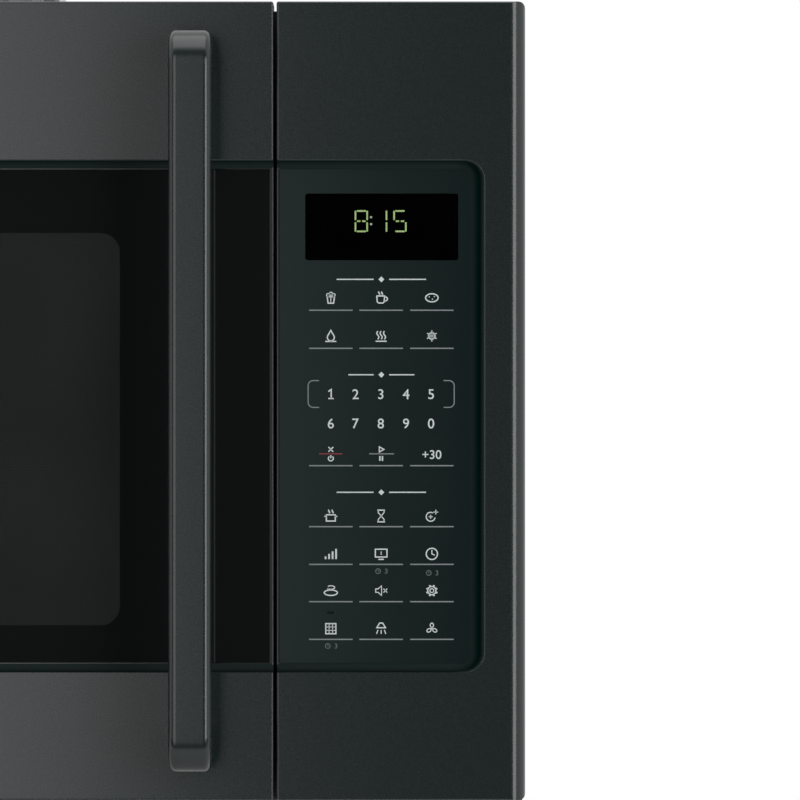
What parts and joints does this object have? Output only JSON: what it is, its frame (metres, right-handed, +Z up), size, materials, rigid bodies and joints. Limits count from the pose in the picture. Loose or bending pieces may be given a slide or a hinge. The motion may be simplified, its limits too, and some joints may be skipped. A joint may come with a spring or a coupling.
{
  "type": "over-the-range microwave oven",
  "caption": "Over-the-range microwave oven with a side-hinged door, a full-height touch control panel, a turntable and a top exhaust collar.",
  "frame": {"origin": "centre of the base: midway across, midway from the handle to the wall, on the lowest face", "axes": "+X to the right of someone facing the oven, +Y towards the wall, +Z up"},
  "size_m": [0.759, 0.443, 0.434],
  "materials": {
    "slate_metal": "satin dark slate paint with a faint fleck",
    "case_black": "satin black paint",
    "galvanized_steel": "galvanized sheet",
    "cavity_enamel": "speckled light grey enamel",
    "black_glass": "gloss black glass",
    "tray_glass": "clear moulded glass",
    "lamp_glass": "frosted glass",
    "clear_film": "smoke-clear film",
    "keypad_film": "satin printed film",
    "display_lens": "gloss black lens",
    "black_plastic": "moulded black plastic",
    "white_plastic": "moulded white plastic",
    "mica": "mica sheet",
    "circuit_green": "circuit board",
    "parts_mixed": "moulded component bodies",
    "steel": "plain steel",
    "screw_steel": "plated screws",
    "spring_steel": "bright wire",
    "aluminium": "plain aluminium",
    "filter_mesh": "layered aluminium mesh",
    "charcoal": "charcoal granules",
    "transformer_steel": "varnished laminations",
    "rubber": "moulded rubber"
  },
  "bodies": {
    "chassis": {"base_plate": "case_black", "outer_wrap": "case_black", "back_plate": "galvanized_steel", "front_plate": "case_black", "component_shelf": "galvanized_steel", "exhaust_adaptor": "galvanized_steel", "cord_bush": "rubber", "case_screws": "screw_steel", "cavity_wrap": "cavity_enamel", "cavity_floor": "cavity_enamel", "cavity_back": "cavity_enamel", "waveguide_cover": "mica", "cavity_lamp": "white_plastic", "turntable_motor": "steel", "control_housing": "slate_metal", "touch_overlay": "keypad_film", "display_window": "display_lens", "display_module": "black_plastic", "control_board": "circuit_green", "board_components": "parts_mixed", "hinge_brackets": "steel", "hinge_pins": "steel", "interlock_bracket": "white_plastic", "interlock_switches": "black_plastic", "waveguide": "galvanized_steel", "magnetron": "aluminium", "hv_transformer": "transformer_steel", "hv_capacitor": "aluminium", "hv_diode": "black_plastic", "fan_shroud": "galvanized_steel", "cooling_motor": "steel", "vent_grille": "case_black", "charcoal_filter": "charcoal", "blower_housing": "galvanized_steel", "blower_motor": "steel", "lamp_housing": "galvanized_steel", "cooktop_lamps": "white_plastic"},
    "door": {"door_frame": "slate_metal", "door_glass": "black_glass", "door_choke": "case_black", "door_screen": "case_black", "door_film": "clear_film", "choke_cover": "black_plastic", "door_handle": "slate_metal", "handle_screws": "screw_steel", "latch_spring": "spring_steel"},
    "latch": {"door_latch": "black_plastic"},
    "turntable": {"motor_shaft": "white_plastic", "tray_coupler": "white_plastic"},
    "tray": {"glass_tray": "tray_glass"},
    "ring": {"roller_ring": "white_plastic"},
    "roller_rear": {"roller_rear": "white_plastic"},
    "roller_left": {"roller_left": "white_plastic"},
    "roller_right": {"roller_right": "white_plastic"},
    "blower_rotor": {"blower_wheels": "black_plastic"},
    "cooling_rotor": {"cooling_blade": "black_plastic"},
    "filter_left": {"grease_filter_left": "filter_mesh"},
    "filter_right": {"grease_filter_right": "filter_mesh"},
    "lamp_door": {"lamp_cover": "lamp_glass"},
    "damper": {"damper_flap": "galvanized_steel"}
  },
  "joints": [
    {"name": "door_swing", "type": "hinge", "parent": "chassis", "child": "door", "pos_m": [-0.3725, -0.1445, 0.205], "axis": [0, 0, -1], "range_deg": [0, 110]},
    {"name": "latch_lift", "type": "slide", "parent": "door", "child": "latch", "axis": [0, 0, 1], "range_m": [0, 0.004], "stiffness_N_per_m": 300, "springref_m": -0.002, "deforming": ["latch_spring"]},
    {"name": "turntable_spin", "type": "hinge", "parent": "chassis", "child": "turntable", "pos_m": [-0.0651, 0.0285, 0.062], "axis": [0, 0, 1], "continuous": true},
    {"name": "tray_lift", "type": "slide", "parent": "turntable", "child": "tray", "axis": [0, 0, 1], "range_m": [0, 0.03]},
    {"name": "ring_spin", "type": "hinge", "parent": "chassis", "child": "ring", "pos_m": [-0.0651, 0.0285, 0.0713], "axis": [0, 0, 1], "continuous": true},
    {"name": "roller_rear_spin", "type": "hinge", "parent": "ring", "child": "roller_rear", "pos_m": [-0.0651, 0.137, 0.0713], "axis": [0, 1, 0], "continuous": true},
    {"name": "roller_left_spin", "type": "hinge", "parent": "ring", "child": "roller_left", "pos_m": [-0.15906, -0.02575, 0.0713], "axis": [-0.866, -0.5, 0], "continuous": true},
    {"name": "roller_right_spin", "type": "hinge", "parent": "ring", "child": "roller_right", "pos_m": [0.02886, -0.02575, 0.0713], "axis": [0.866, -0.5, 0], "continuous": true},
    {"name": "blower_spin", "type": "hinge", "parent": "chassis", "child": "blower_rotor", "pos_m": [0, 0.16025, 0.36725], "axis": [1, 0, 0], "continuous": true},
    {"name": "cooling_spin", "type": "hinge", "parent": "chassis", "child": "cooling_rotor", "pos_m": [0.29315, 0.15, 0.232], "axis": [0, 1, 0], "continuous": true},
    {"name": "filter_left_drop", "type": "slide", "parent": "chassis", "child": "filter_left", "axis": [0, 0, -1], "range_m": [0, 0.06]},
    {"name": "filter_right_drop", "type": "slide", "parent": "chassis", "child": "filter_right", "axis": [0, 0, -1], "range_m": [0, 0.06]},
    {"name": "lamp_cover_tilt", "type": "hinge", "parent": "chassis", "child": "lamp_door", "pos_m": [0, -0.06, 0.003], "axis": [1, 0, 0], "range_deg": [0, 75]},
    {"name": "damper_swing", "type": "hinge", "parent": "chassis", "child": "damper", "pos_m": [0, 0.1972, 0.414], "axis": [-1, 0, 0], "range_deg": [0, 80]}
  ],
  "couplings": [
    {"joint": "ring_spin", "follows": "turntable_spin", "ratio": 0.5},
    {"joint": "roller_rear_spin", "follows": "turntable_spin", "ratio": -6.0278},
    {"joint": "roller_left_spin", "follows": "turntable_spin", "ratio": -6.0278},
    {"joint": "roller_right_spin", "follows": "turntable_spin", "ratio": -6.0278}
  ]
}
